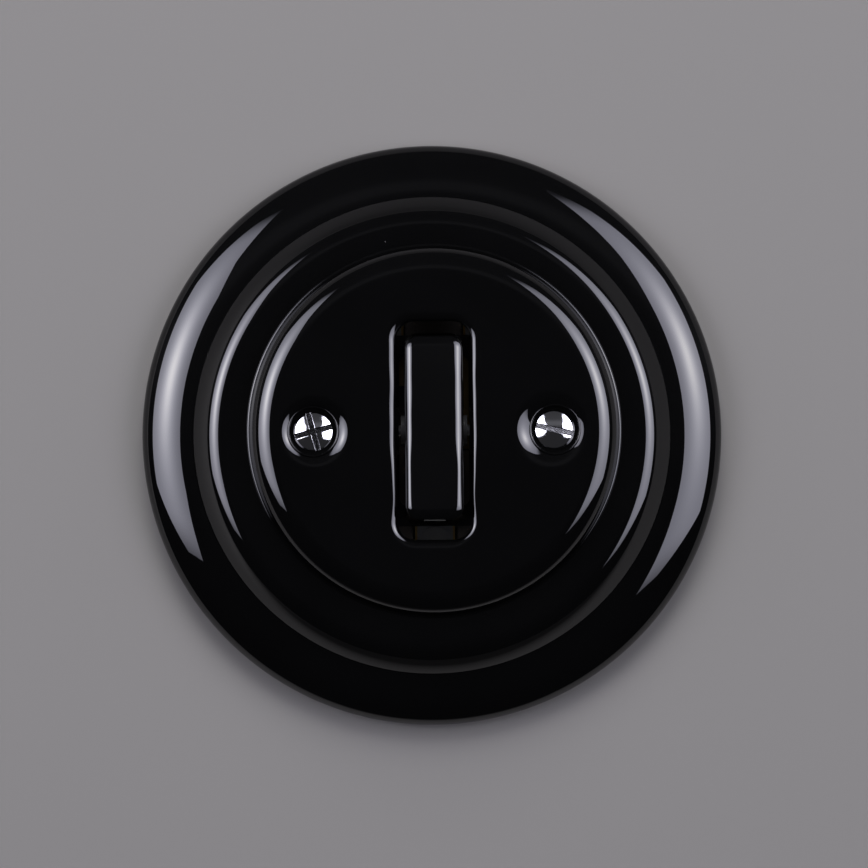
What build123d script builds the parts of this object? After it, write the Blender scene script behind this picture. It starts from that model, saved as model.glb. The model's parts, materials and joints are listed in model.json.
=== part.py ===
"""Round ceramic rocker light switch, flush mounted, with its two-way mechanism.

Millimetres. The wall is the plane y = 0, the front faces -Y and +Z is up. The origin is the centre of the
box-screw pattern on the wall. Heights are measured off the wall towards the front, so what lies in the wall
box has a negative height.
"""
import os
from math import cos, radians, sin, tan

from build123d import *

os.makedirs("parts", exist_ok=True)

# Ceramic frame: a bullnose outer tier, a sloping step and a flat second tier
frame_radius = 50.0
frame_foot = 1.8  # straight edge above the wall
bead_width = 8.95  # outer tier, a quarter ellipse
bead_height = 5.3
step_width = 5.15  # from the crease to the flat of the second tier
step_slope = 48.0
shoulder_radius = 3.7
frame_wall = 4.0
frame_web = 4.6  # thickness under the flat of the second tier
foot_width = 3.8
foot_flare = 1.6
frame_edge_radius = 0.8
frame_play = 0.95  # play of the frame round the cover's spigot
hang_clearance = 0.05  # left where the frame hangs on the spigot
hang_angle = 26.0  # the frame hangs down and to the left by this angle

# Ceramic cover
cover_radius = 32.0
cover_edge_radius = 4.4
cover_rim = 0.6
cover_bead = 0.4  # roll of thick glaze round the foot
cover_thickness = 3.6
spigot_radius = 29.2
spigot_wall = 4.0
spigot_length = 2.6  # below the seat on the frame
opening_width = 12.8
opening_length = 37.1
opening_corner = 3.2
opening_lip = 1.5

# Cover screws and their dished seats
countersink_angle = 90.0
screw_spacing = 41.1
screw_radius = 1.7
screw_hole_radius = 2.0
screw_head_radius = 3.3
screw_head_rise = 0.85  # raised part of the head
screw_end = 2.0  # length behind the wall plane
slot_width = 0.85
slot_depth = 0.95
left_slot_angle = 105.0
right_slot_angle = -13.0
dimple_radius = 6.4
dimple_curve = 3.4  # radius of the dish's round flank
dimple_sweep = 39.0
seat_rim_radius = 4.05
seat_depth = 1.0  # straight bore below the dish
seat_cone_radius = 2.9
seat_clearance = 0.05
boss_radius = 5.0
boss_length = 4.4

# Rocker: key, cradle, pin, spring and plunger turn together about the pin
rocker_tilt = 4.5  # top end pressed in at rest
pivot_height = 9.5
key_proud = 1.4  # face above the cover at mid travel
key_height = 5.1
key_width = 10.1
key_length = 32.8
key_side_draft = 0.15
key_end_draft = 0.8
key_corner_radius = 2.0
key_edge_radius = 1.6
tongue_width = 5.9
tongue_length = 6.6
tongue_spread = 17.0  # centre to centre of the two tongues
tongue_height = 2.8
tongue_clearance = 0.15
cradle_inset = 0.7  # cradle's edge inside the key's edge
cradle_thickness = 1.2
barrel_radius = 2.6
barrel_overhang = 1.3  # past the cradle's edge
pin_radius = 1.0
pin_clearance = 0.04
pin_overhang = 0.5
tube_radius = 3.3
tube_reach = 11.5  # from the pin's axis to the tube's mouth
rib_thickness = 1.6
rib_reach = 12.5
rib_drop = 4.0
spring_seat = 1.8  # from the pin's axis
spring_length = 5.0
spring_radius = 1.75  # middle of the wire
spring_wire = 0.45
spring_turns = 5
spring_gap = 0.03
plunger_radius = 2.15
plunger_clearance = 0.05
plunger_guide = 4.5
plunger_taper = 0.8
plunger_spigot_radius = 1.2
plunger_spigot = 1.5
plunger_tip_radius = 1.4
plunger_gap = 0.15  # over the lever as the key passes mid travel

# Steel support plate with two ears for the pin
plate_radius = 35.0
plate_thickness = 1.2
bend_radius = 0.8
ear_clearance = 0.4
ear_width = 8.0
ear_rim = 2.3  # steel round the pin
window_length = 26.0
window_corner = 1.5
box_screw_spacing = 60.0
box_slot_width = 4.2
box_slot_length = 7.0
standoff_radius = 3.5
standoff_spigot_radius = 2.5
stake_clearance = 0.03
thread_clearance = 0.05

# Contacts
fulcrum_depth = 8.5  # knife edge behind the wall plane
lever_ratio = 1.5  # lever's turn for the key's turn, the other way
lever_width = 6.0
lever_thickness = 1.2
lever_reach = 10.5  # knife edge to contact
lever_overhang = 1.9
lever_corner = 1.5
lever_end_clearance = 1.4  # to the trough's end wall
edge_radius = 0.5
edge_clearance = 0.1
edge_width = 5.0
rivet_radius = 0.8
lever_contact_radius = 1.6
lever_contact_height = 0.6
rivet_head_radius = 1.2
rivet_head_height = 0.4
fixed_contact_radius = 1.7
fixed_contact_height = 0.8
contact_gap = 0.12

# Terminal strips, their screws and washers
strip_width = 7.0
strip_thickness = 1.0
strip_clearance = 0.35
riser_clearance = 0.12  # between a riser and its pocket's wall
pad_length = 5.2
foot_length = 6.4  # of the common strip, under the knife edge
riser_gap = 3.1  # lever's end to the strip's riser
tab_length = 7.0
tab_depth = 7.0  # top of the tab behind the wall plane
terminal_screw_radius = 1.45
terminal_thread_clearance = 0.05
terminal_screw_length = 4.5  # below the tab's top
terminal_head_radius = 2.7
terminal_head_height = 2.0
terminal_slot_width = 0.8
terminal_slot_depth = 1.0
washer_width = 6.2
washer_thickness = 1.2
washer_clearance = 0.15

# Insulating base
barrier = 1.0  # wall between the trough and the side channels
base_wall = 5.4
base_end_wall = 2.2
base_back_wall = 4.0
base_corner = 7.0
base_edge = 1.2
wire_notch = 3.8
core_wall = 2.6  # left round the cored pockets in the back
core_corner = 1.5
base_screw_radius = 1.2
base_screw_head_radius = 2.3
base_screw_length = 8.0
base_screw_spacing = 28.0
base_screw_clearance = 0.05
base_screw_slot = 0.6

# Derived heights and places
crease_radius = frame_radius - bead_width
crease_height = frame_foot + bead_height
flat_radius = crease_radius - step_width
slope = radians(step_slope)
slope_run = step_width - shoulder_radius * sin(slope)
seat_height = crease_height + slope_run * tan(slope) + shoulder_radius * (1 - cos(slope))
opening_radius = spigot_radius + frame_play
hang_offset = frame_play - hang_clearance
frame_drop = hang_offset * cos(radians(hang_angle))
frame_shift = hang_offset * sin(radians(hang_angle))
cover_face = seat_height + cover_rim + cover_edge_radius
cover_under = cover_face - cover_thickness
boss_bottom = cover_under - boss_length
screw_offset = screw_spacing / 2
cone_rise = 1 / tan(radians(countersink_angle / 2))
dimple_floor = cover_face - dimple_curve * (1 - cos(radians(dimple_sweep)))
seat_floor = dimple_floor - seat_depth
cone_end = seat_floor - (seat_cone_radius - screw_hole_radius) * cone_rise
head_rim = seat_floor + (screw_head_radius - seat_cone_radius) * cone_rise + seat_clearance

key_face = cover_face + key_proud - pivot_height
key_bottom = key_face - key_height
plunger_bore = plunger_radius + plunger_clearance
tip_reach = pivot_height + fulcrum_depth - lever_thickness - plunger_gap
barrel_half = key_width / 2 - cradle_inset + barrel_overhang
ear_inside = barrel_half + ear_clearance

lever_tilt = rocker_tilt * lever_ratio
lever_half = lever_reach + lever_overhang
turn = radians(lever_tilt)
closed_drop = lever_reach * sin(turn) + lever_contact_height * cos(turn) + lever_contact_radius * sin(turn)
strip_top = -fulcrum_depth - closed_drop - contact_gap - fixed_contact_height
trough_floor = strip_top - strip_thickness
tab_floor = -tab_depth - strip_thickness

channel_half = strip_width / 2 + strip_clearance
terminal_x = channel_half + barrier + channel_half
riser_y = lever_half + riser_gap
tab_end = riser_y + tab_length
terminal_y = riser_y + strip_thickness + (tab_length - strip_thickness) / 2
pocket_start = riser_y + strip_thickness + riser_clearance
pocket_end = tab_end + strip_clearance
base_half_width = terminal_x + channel_half + base_wall
base_half_height = pocket_end + base_end_wall
base_depth = base_back_wall - trough_floor
base_screw_x = base_half_width - base_wall / 2
core_depth = base_depth - base_screw_length - core_wall
terminal_places = [(-terminal_x, terminal_y), (terminal_x, terminal_y), (0, -terminal_y)]

# Working planes: the wall, a radial section of the turned pieces, and the tilted rocker and lever
wall = Plane.XZ
section = Plane((0, 0, 0), x_dir=(1, 0, 0), z_dir=(0, 0, -1))
frame_section = Plane((-frame_shift, 0, -frame_drop), x_dir=(1, 0, 0), z_dir=(0, 0, -1))
side = Plane((0, 0, 0), x_dir=(0, 0, 1), z_dir=(1, 0, 0))
rocker = wall.offset(pivot_height).rotated((-rocker_tilt, 0, 0))
rocker_section = Plane(rocker.origin, x_dir=(1, 0, 0), z_dir=-rocker.y_dir)
rocker_side = Plane(rocker.origin, x_dir=rocker.y_dir, z_dir=(1, 0, 0))
lever = wall.offset(-fulcrum_depth).rotated((lever_tilt, 0, 0))
lever_side = Plane(lever.origin, x_dir=lever.y_dir, z_dir=(1, 0, 0))

# Frame: one turned section, hollow behind, hung off centre on the cover's spigot
slope_top = (crease_radius - slope_run, seat_height - shoulder_radius * (1 - cos(slope)))
shoulder_centre = (flat_radius, seat_height - shoulder_radius)
bead_roof = crease_height - frame_wall
web_under = seat_height - frame_web
roof_radius = crease_radius - frame_wall / sin(slope) + (crease_height - bead_roof) / tan(slope)
web_radius = crease_radius - frame_wall / sin(slope) - (web_under - crease_height) / tan(slope)
foot_inside = frame_radius - foot_width
inside_edge_radius = min(frame_edge_radius, (flat_radius - opening_radius) / 2)

with BuildPart() as frame_ring:
    with BuildSketch(frame_section):
        with BuildLine():
            Line((foot_inside, 0), (frame_radius, 0))
            Line((frame_radius, 0), (frame_radius, frame_foot))
            EllipticalCenterArc((crease_radius, frame_foot), bead_width, bead_height, 0, arc_size=90)
            Line((crease_radius, crease_height), slope_top)
            CenterArc(shoulder_centre, shoulder_radius, 90 - step_slope, step_slope)
            FilletPolyline(
                (flat_radius, seat_height),
                (opening_radius, seat_height),
                (opening_radius, web_under),
                (web_radius, web_under),
                (roof_radius, bead_roof),
                (foot_inside - foot_flare, bead_roof),
                (foot_inside, 0),
                radius=inside_edge_radius,
            )
        make_face()
    revolve(axis=Axis(frame_section.origin, (0, 1, 0)))
frame_ring.part.label = "frame_ring"
export_step(frame_ring.part, "parts/frame_ring.step")

# Cover: a turned cap with a spigot, two screw bosses, the key's opening and the dished screw seats
with BuildPart() as cover_plate:
    with BuildSketch(section):
        with BuildLine():
            Polyline(
                (0, cover_face),
                (0, cover_under),
                (spigot_radius - spigot_wall, cover_under),
                (spigot_radius - spigot_wall, seat_height - spigot_length),
                (spigot_radius, seat_height - spigot_length),
                (spigot_radius, seat_height),
                (cover_radius, seat_height),
            )
            rim_radius = cover_radius - cover_bead
            rim_centre = (rim_radius - cover_edge_radius, seat_height + cover_rim)
            CenterArc((rim_radius, seat_height), cover_bead, 0, 90)
            Line((rim_radius, seat_height + cover_bead), (rim_radius, seat_height + cover_rim))
            CenterArc(rim_centre, cover_edge_radius, 0, 90)
            Line((rim_radius - cover_edge_radius, cover_face), (0, cover_face))
        make_face()
    revolve(axis=Axis.Y)
    with BuildSketch(wall.offset(cover_under)):
        with GridLocations(screw_spacing, 0, 2, 1):
            Circle(boss_radius)
    extrude(amount=-boss_length)
    with BuildSketch(wall.offset(cover_face)):
        RectangleRounded(opening_width, opening_length, opening_corner)
    extrude(amount=-cover_thickness, mode=Mode.SUBTRACT)
    front_edges = cover_plate.edges().group_by(Axis.Y)[0]
    fillet(front_edges.filter_by(lambda edge: edge.length < opening_length), opening_lip)
    for x in (-screw_offset, screw_offset):
        seat_section = Plane((x, 0, 0), x_dir=(1, 0, 0), z_dir=(0, 0, -1))
        with BuildSketch(seat_section):
            with BuildLine():
                flank = CenterArc((dimple_radius, cover_face - dimple_curve), dimple_curve, 90, dimple_sweep)
                Polyline(
                    flank @ 1,
                    (seat_rim_radius, dimple_floor),
                    (seat_rim_radius, seat_floor),
                    (seat_cone_radius, seat_floor),
                    (screw_hole_radius, cone_end),
                    (screw_hole_radius, boss_bottom),
                    (0, boss_bottom),
                    (0, cover_face),
                    (dimple_radius, cover_face),
                )
            make_face()
        revolve(axis=Axis((x, 0, 0), (0, 1, 0)), mode=Mode.SUBTRACT)
cover_plate.part.label = "cover_plate"
export_step(cover_plate.part, "parts/cover_plate.step")

# Cover screws: raised countersunk heads, one with a crossed slot and one with a single slot
cap_radius = (screw_head_radius**2 + screw_head_rise**2) / (2 * screw_head_rise)
cap_angle = 2 * (90 - Vector(screw_head_radius, screw_head_rise).get_angle(Vector(0, 1)))
cone_foot = head_rim - (screw_head_radius - screw_radius) * cone_rise


def cover_screw(name, x, slot_angles):
    head_section = Plane((x, 0, 0), x_dir=(1, 0, 0), z_dir=(0, 0, -1))
    with BuildPart() as screw:
        with BuildSketch(head_section):
            with BuildLine():
                CenterArc((0, head_rim + screw_head_rise - cap_radius), cap_radius, 90 - cap_angle, cap_angle)
                Polyline(
                    (screw_head_radius, head_rim),
                    (screw_radius, cone_foot),
                    (screw_radius, -screw_end),
                    (0, -screw_end),
                    (0, head_rim + screw_head_rise),
                )
            make_face()
        revolve(axis=Axis((x, 0, 0), (0, 1, 0)))
        head_top = Plane((x, -head_rim - screw_head_rise, 0), x_dir=(1, 0, 0), z_dir=(0, -1, 0))
        with BuildSketch(head_top):
            for angle in slot_angles:
                SlotOverall(4 * screw_head_radius, slot_width, rotation=angle)
        extrude(amount=-slot_depth, mode=Mode.SUBTRACT)
    screw.part.label = name
    export_step(screw.part, f"parts/{name}.step")


cover_screw("cover_screw_left", -screw_offset, (left_slot_angle, left_slot_angle - 90))
cover_screw("cover_screw_right", screw_offset, (right_slot_angle,))

# Standoffs: threaded brass pillars staked into the plate, each under a boss of the cover
with BuildPart() as cover_standoffs:
    with BuildSketch(wall.offset(plate_thickness)):
        with GridLocations(screw_spacing, 0, 2, 1):
            Circle(standoff_radius)
    extrude(amount=boss_bottom - plate_thickness)
    with BuildSketch(wall.offset(plate_thickness)):
        with GridLocations(screw_spacing, 0, 2, 1):
            Circle(standoff_spigot_radius)
    extrude(amount=-plate_thickness)
    with BuildSketch(wall):
        with GridLocations(screw_spacing, 0, 2, 1):
            Circle(screw_radius + thread_clearance)
    extrude(amount=boss_bottom, mode=Mode.SUBTRACT)
cover_standoffs.part.label = "cover_standoffs"
export_step(cover_standoffs.part, "parts/cover_standoffs.step")

# Support plate: a stamped disc with windows, and two ears bent up from the sides of the middle window
bend_outside = bend_radius + plate_thickness

with BuildPart() as support_plate:
    with BuildSketch(wall):
        Circle(plate_radius)
        RectangleRounded(2 * ear_inside, window_length, window_corner, mode=Mode.SUBTRACT)
        with GridLocations(0, 2 * terminal_y, 1, 2):
            window_width = 2 * (terminal_x + channel_half)
            RectangleRounded(window_width, tab_length - strip_thickness, window_corner, mode=Mode.SUBTRACT)
        with GridLocations(box_screw_spacing, 0, 2, 1):
            SlotOverall(box_slot_length, box_slot_width, mode=Mode.SUBTRACT)
        with GridLocations(screw_spacing, 0, 2, 1):
            Circle(standoff_spigot_radius + stake_clearance, mode=Mode.SUBTRACT)
        with GridLocations(2 * ear_inside + bend_outside, 0, 2, 1):
            Rectangle(bend_outside, ear_width, mode=Mode.SUBTRACT)
    extrude(amount=plate_thickness)
    for flip in (1, -1):
        ear_section = Plane((0, 0, 0), x_dir=(flip, 0, 0), z_dir=(0, 0, -flip))
        with BuildSketch(ear_section):
            with BuildLine():
                bend_centre = (ear_inside + bend_outside, bend_outside)
                Line((ear_inside + bend_outside, 0), (ear_inside + bend_outside, plate_thickness))
                CenterArc(bend_centre, bend_radius, 180, 90)
                Polyline(
                    (ear_inside + plate_thickness, bend_outside),
                    (ear_inside + plate_thickness, pivot_height + ear_rim),
                    (ear_inside, pivot_height + ear_rim),
                    (ear_inside, bend_outside),
                )
                CenterArc(bend_centre, bend_outside, 180, 90)
            make_face()
        extrude(amount=ear_width / 2, both=True)
    ear_tips = support_plate.edges().filter_by(Axis.X).group_by(Axis.Y)[0]
    fillet(ear_tips, ear_rim)
    with BuildSketch(side):
        with Locations((0, pivot_height)):
            Circle(pin_radius)
    extrude(amount=ear_inside + 2 * plate_thickness, both=True, mode=Mode.SUBTRACT)
    with Locations(wall.offset(plate_thickness)):
        with GridLocations(2 * base_screw_x, base_screw_spacing, 2, 2):
            CounterSinkHole(
                base_screw_radius + base_screw_clearance,
                base_screw_head_radius,
                depth=plate_thickness,
                counter_sink_angle=countersink_angle,
            )
support_plate.part.label = "support_plate"
export_step(support_plate.part, "parts/support_plate.step")

# Pivot pin, a press fit in the ears
with BuildPart() as pivot_pin:
    with BuildSketch(side):
        with Locations((0, pivot_height)):
            Circle(pin_radius)
    extrude(amount=ear_inside + plate_thickness + pin_overhang, both=True)
pivot_pin.part.label = "pivot_pin"
export_step(pivot_pin.part, "parts/pivot_pin.step")

# Key: a drafted glazed block with rounded edges, hollow below for the cradle's tongues
with BuildPart() as rocker_key:
    with BuildSketch(rocker.offset(key_bottom)):
        Rectangle(key_width, key_length)
    with BuildSketch(rocker.offset(key_face)):
        Rectangle(key_width - 2 * key_side_draft, key_length - 2 * key_end_draft)
    loft()
    key_faces = rocker_key.faces().sort_by(Axis(rocker.origin, rocker.z_dir))
    upright_edges = rocker_key.edges() - key_faces[0].edges() - key_faces[-1].edges()
    fillet(upright_edges, key_corner_radius)
    top_face = rocker_key.faces().sort_by(Axis(rocker.origin, rocker.z_dir))[-1]
    fillet(top_face.edges(), key_edge_radius)
    with BuildSketch(rocker.offset(key_bottom)):
        with GridLocations(0, tongue_spread, 1, 2):
            Rectangle(tongue_width + 2 * tongue_clearance, tongue_length + 2 * tongue_clearance)
    extrude(amount=tongue_height + tongue_clearance, mode=Mode.SUBTRACT)
rocker_key.part.label = "rocker_key"
export_step(rocker_key.part, "parts/rocker_key.step")

# Cradle: plate and tongues under the key, a barrel on the pin, ribs, and the spring's tube behind
with BuildPart() as key_cradle:
    with BuildSketch(rocker.offset(key_bottom)):
        Rectangle(key_width - 2 * cradle_inset, key_length - 2 * cradle_inset)
    extrude(amount=-cradle_thickness)
    with BuildSketch(rocker.offset(key_bottom)):
        with GridLocations(0, tongue_spread, 1, 2):
            Rectangle(tongue_width, tongue_length)
    extrude(amount=tongue_height)
    with BuildSketch(rocker_side):
        Circle(barrel_radius)
    extrude(amount=barrel_half, both=True)
    with BuildSketch(rocker_side):
        with BuildLine():
            rib_top = key_bottom - cradle_thickness
            Polyline((-rib_reach, rib_top), (rib_reach, rib_top), (0, -rib_drop), close=True)
        make_face()
    extrude(amount=rib_thickness / 2, both=True)
    with BuildSketch(rocker):
        Circle(tube_radius)
    extrude(amount=-tube_reach)
    with BuildSketch(rocker.offset(-tube_reach)):
        Circle(plunger_bore)
    extrude(amount=tube_reach - spring_seat, mode=Mode.SUBTRACT)
    with BuildSketch(rocker_side):
        Circle(pin_radius + pin_clearance)
    extrude(amount=2 * barrel_half, both=True, mode=Mode.SUBTRACT)
key_cradle.part.label = "key_cradle"
export_step(key_cradle.part, "parts/key_cradle.step")

# Spring between the tube's end and the plunger
coil_length = spring_length - spring_wire - 2 * spring_gap

with BuildPart() as toggle_spring:
    with BuildLine(rocker.offset(-spring_seat - spring_gap - spring_wire / 2 - coil_length)) as coil:
        Helix(coil_length / spring_turns, coil_length, spring_radius, direction=rocker.z_dir)
    with BuildSketch(Plane(coil.line @ 0, z_dir=coil.line % 0)):
        Circle(spring_wire / 2)
    sweep(is_frenet=True)
toggle_spring.part.label = "toggle_spring"
export_step(toggle_spring.part, "parts/toggle_spring.step")

# Plunger: spigot in the spring, guide in the tube, round tip over the lever
plunger_top = -spring_seat - spring_length
guide_end = plunger_top - plunger_guide
tip_centre = plunger_tip_radius - tip_reach

with BuildPart() as plunger:
    with BuildSketch(rocker_section):
        with BuildLine():
            Polyline(
                (0, -tip_reach),
                (0, plunger_top + plunger_spigot),
                (plunger_spigot_radius, plunger_top + plunger_spigot),
                (plunger_spigot_radius, plunger_top),
                (plunger_radius, plunger_top),
                (plunger_radius, guide_end),
                (plunger_tip_radius, guide_end - plunger_taper),
                (plunger_tip_radius, tip_centre),
            )
            CenterArc((0, tip_centre), plunger_tip_radius, -90, 90)
        make_face()
    revolve(axis=Axis(rocker.origin, rocker.z_dir))
plunger.part.label = "plunger"
export_step(plunger.part, "parts/plunger.step")

# Contact lever: a strip that see-saws on the knife edge, with a silver rivet at each end
with BuildPart() as contact_lever:
    with BuildSketch(lever):
        RectangleRounded(lever_width, 2 * lever_half, lever_corner)
        with GridLocations(0, 2 * lever_reach, 1, 2):
            Circle(rivet_radius, mode=Mode.SUBTRACT)
    extrude(amount=lever_thickness)
    with BuildSketch(lever_side):
        Circle(edge_radius + edge_clearance)
    extrude(amount=lever_width, both=True, mode=Mode.SUBTRACT)
contact_lever.part.label = "contact_lever"
export_step(contact_lever.part, "parts/contact_lever.step")

with BuildPart() as lever_contacts:
    with BuildSketch(lever):
        with GridLocations(0, 2 * lever_reach, 1, 2):
            Circle(lever_contact_radius)
    extrude(amount=-lever_contact_height)
    with BuildSketch(lever):
        with GridLocations(0, 2 * lever_reach, 1, 2):
            Circle(rivet_radius)
    extrude(amount=lever_thickness)
    with BuildSketch(lever.offset(lever_thickness)):
        with GridLocations(0, 2 * lever_reach, 1, 2):
            Circle(rivet_head_radius)
    extrude(amount=rivet_head_height)
lever_contacts.part.label = "lever_contacts"
export_step(lever_contacts.part, "parts/lever_contacts.step")


# A strip's raised end: the riser from the trough's floor and the tab with its threaded hole
def raised_end(x, towards):
    with BuildPart() as end:
        with BuildSketch(side.offset(x)):
            with BuildLine():
                Polyline(
                    (towards * riser_y, trough_floor),
                    (towards * (riser_y + strip_thickness), trough_floor),
                    (towards * (riser_y + strip_thickness), tab_floor),
                    (towards * tab_end, tab_floor),
                    (towards * tab_end, -tab_depth),
                    (towards * riser_y, -tab_depth),
                    close=True,
                )
            make_face()
        extrude(amount=strip_width / 2, both=True)
        with BuildSketch(wall.offset(-tab_depth)):
            with Locations((x, towards * terminal_y)):
                Circle(terminal_screw_radius + terminal_thread_clearance)
        extrude(amount=-strip_thickness, mode=Mode.SUBTRACT)
    return end.part


# Common strip: foot and knife edge under the lever, and a run beside the trough to its terminal
foot_run = terminal_x + strip_width
common_end = raised_end(terminal_x, 1)

with BuildPart() as common_strip:
    with BuildSketch(wall.offset(trough_floor)):
        with Locations((-strip_width / 2, 0)):
            Rectangle(foot_run, foot_length, align=(Align.MIN, Align.CENTER))
        with Locations((terminal_x, -foot_length / 2)):
            Rectangle(strip_width, foot_length / 2 + riser_y, align=(Align.CENTER, Align.MIN))
    extrude(amount=strip_thickness)
    with BuildSketch(side):
        with Locations((0, -fulcrum_depth)):
            Circle(edge_radius)
            Rectangle(2 * edge_radius, -fulcrum_depth - strip_top, align=(Align.CENTER, Align.MAX))
    extrude(amount=edge_width / 2, both=True)
    add(common_end)
common_strip.part.label = "common_strip"
export_step(common_strip.part, "parts/common_strip.step")

# Way strips: a pad under each end of the lever, with a silver rivet, and a raised terminal tab
upper_end = raised_end(-terminal_x, 1)
lower_end = raised_end(0, -1)

with BuildPart() as upper_way_strip:
    with BuildSketch(wall.offset(trough_floor)):
        with Locations((strip_width / 2, lever_reach)):
            Rectangle(foot_run, pad_length, align=(Align.MAX, Align.CENTER))
        with Locations((-terminal_x, lever_reach - pad_length / 2)):
            Rectangle(strip_width, pad_length / 2 + riser_y - lever_reach, align=(Align.CENTER, Align.MIN))
        with Locations((0, lever_reach)):
            Circle(rivet_radius, mode=Mode.SUBTRACT)
    extrude(amount=strip_thickness)
    add(upper_end)
upper_way_strip.part.label = "upper_way_strip"
export_step(upper_way_strip.part, "parts/upper_way_strip.step")

with BuildPart() as lower_way_strip:
    with BuildSketch(wall.offset(trough_floor)):
        with Locations((0, -lever_reach + pad_length / 2)):
            Rectangle(strip_width, pad_length / 2 + riser_y - lever_reach, align=(Align.CENTER, Align.MAX))
        with Locations((0, -lever_reach)):
            Circle(rivet_radius, mode=Mode.SUBTRACT)
    extrude(amount=strip_thickness)
    add(lower_end)
lower_way_strip.part.label = "lower_way_strip"
export_step(lower_way_strip.part, "parts/lower_way_strip.step")

with BuildPart() as fixed_contacts:
    with BuildSketch(wall.offset(trough_floor)):
        with GridLocations(0, 2 * lever_reach, 1, 2):
            Circle(rivet_radius)
    extrude(amount=strip_thickness)
    with BuildSketch(wall.offset(strip_top)):
        with GridLocations(0, 2 * lever_reach, 1, 2):
            Circle(fixed_contact_radius)
    extrude(amount=fixed_contact_height)
fixed_contacts.part.label = "fixed_contacts"
export_step(fixed_contacts.part, "parts/fixed_contacts.step")

# Terminal screws and their square clamp washers
washer_top = -tab_depth + washer_thickness
terminal_head_top = washer_top + terminal_head_height

with BuildPart() as terminal_screws:
    with BuildSketch(wall.offset(washer_top)):
        with Locations(*terminal_places):
            Circle(terminal_head_radius)
    extrude(amount=terminal_head_height)
    with BuildSketch(wall.offset(washer_top)):
        with Locations(*terminal_places):
            Circle(terminal_screw_radius)
    extrude(amount=-washer_thickness - terminal_screw_length)
    with BuildSketch(wall.offset(terminal_head_top)):
        with Locations(*terminal_places):
            Rectangle(2 * terminal_head_radius, terminal_slot_width)
    extrude(amount=-terminal_slot_depth, mode=Mode.SUBTRACT)
terminal_screws.part.label = "terminal_screws"
export_step(terminal_screws.part, "parts/terminal_screws.step")

with BuildPart() as clamp_washers:
    with BuildSketch(wall.offset(-tab_depth)):
        with Locations(*terminal_places):
            Rectangle(washer_width, washer_width)
            Circle(terminal_screw_radius + washer_clearance, mode=Mode.SUBTRACT)
    extrude(amount=washer_thickness)
clamp_washers.part.label = "clamp_washers"
export_step(clamp_washers.part, "parts/clamp_washers.step")

# Base: a moulded block behind the plate, with the trough, the side channels and the terminal pockets
channel_width = 2 * channel_half
link_width = terminal_x + channel_width

with BuildPart() as switch_base:
    with BuildSketch(wall):
        RectangleRounded(2 * base_half_width, 2 * base_half_height, base_corner)
    extrude(amount=-base_depth)
    back_edges = switch_base.edges().group_by(Axis.Y)[-1]
    fillet(back_edges, base_edge)
    with BuildSketch(wall):
        with Locations((0, -pocket_start)):
            run = pocket_start + lever_half + lever_end_clearance
            Rectangle(channel_width, run, align=(Align.CENTER, Align.MIN))
        with Locations((channel_half, lever_reach)):
            Rectangle(link_width, pad_length + 2 * strip_clearance, align=(Align.MAX, Align.CENTER))
        with Locations((-channel_half, 0)):
            Rectangle(link_width, foot_length + 2 * strip_clearance, align=(Align.MIN, Align.CENTER))
        with Locations((-terminal_x, lever_reach - pad_length / 2 - strip_clearance)):
            run = pocket_start - lever_reach + pad_length / 2 + strip_clearance
            Rectangle(channel_width, run, align=(Align.CENTER, Align.MIN))
        with Locations((terminal_x, -foot_length / 2 - strip_clearance)):
            run = pocket_start + foot_length / 2 + strip_clearance
            Rectangle(channel_width, run, align=(Align.CENTER, Align.MIN))
    extrude(amount=trough_floor, mode=Mode.SUBTRACT)
    for x, y in terminal_places:
        towards = 1 if y > 0 else -1
        with BuildSketch(wall):
            with Locations((x, towards * (pocket_start + pocket_end) / 2)):
                Rectangle(channel_width, pocket_end - pocket_start)
        extrude(amount=tab_floor, mode=Mode.SUBTRACT)
        with BuildSketch(wall):
            with Locations((x, towards * (pocket_end + base_end_wall / 2))):
                Rectangle(wire_notch, base_end_wall)
        extrude(amount=-tab_depth, mode=Mode.SUBTRACT)
        with BuildSketch(wall.offset(tab_floor)):
            with Locations((x, y)):
                Circle(terminal_screw_radius + strip_clearance)
        extrude(amount=-terminal_screw_length, mode=Mode.SUBTRACT)
    with BuildSketch(wall):
        with GridLocations(2 * base_screw_x, base_screw_spacing, 2, 2):
            Circle(base_screw_radius + base_screw_clearance)
    extrude(amount=-base_screw_length, mode=Mode.SUBTRACT)
    core_bottom = -base_half_height + core_wall
    core_width = base_half_width - channel_half - 2 * core_wall
    core_x = (base_half_width + channel_half) / 2
    left_top = lever_reach - pad_length / 2 - strip_clearance - core_wall
    right_top = -foot_length / 2 - strip_clearance - core_wall
    with BuildSketch(wall.offset(-base_depth)):
        for x, top in ((-core_x, left_top), (core_x, right_top)):
            with Locations((x, (core_bottom + top) / 2)):
                RectangleRounded(core_width, top - core_bottom, core_corner)
    extrude(amount=core_depth, mode=Mode.SUBTRACT)
switch_base.part.label = "switch_base"
export_step(switch_base.part, "parts/switch_base.step")

# Base screws: countersunk, flush in the plate
head_depth = (base_screw_head_radius - base_screw_radius) * cone_rise

with BuildPart() as base_screws:
    with BuildSketch(wall.offset(plate_thickness)):
        with GridLocations(2 * base_screw_x, base_screw_spacing, 2, 2):
            Circle(base_screw_head_radius - base_screw_clearance)
    extrude(amount=-head_depth, taper=countersink_angle / 2)
    with BuildSketch(wall.offset(plate_thickness)):
        with GridLocations(2 * base_screw_x, base_screw_spacing, 2, 2):
            Circle(base_screw_radius)
    extrude(amount=-base_screw_length)
    with BuildSketch(wall.offset(plate_thickness)):
        with GridLocations(2 * base_screw_x, base_screw_spacing, 2, 2):
            Rectangle(2 * base_screw_head_radius, base_screw_slot)
    extrude(amount=-base_screw_slot, mode=Mode.SUBTRACT)
base_screws.part.label = "base_screws"
export_step(base_screws.part, "parts/base_screws.step")
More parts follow.
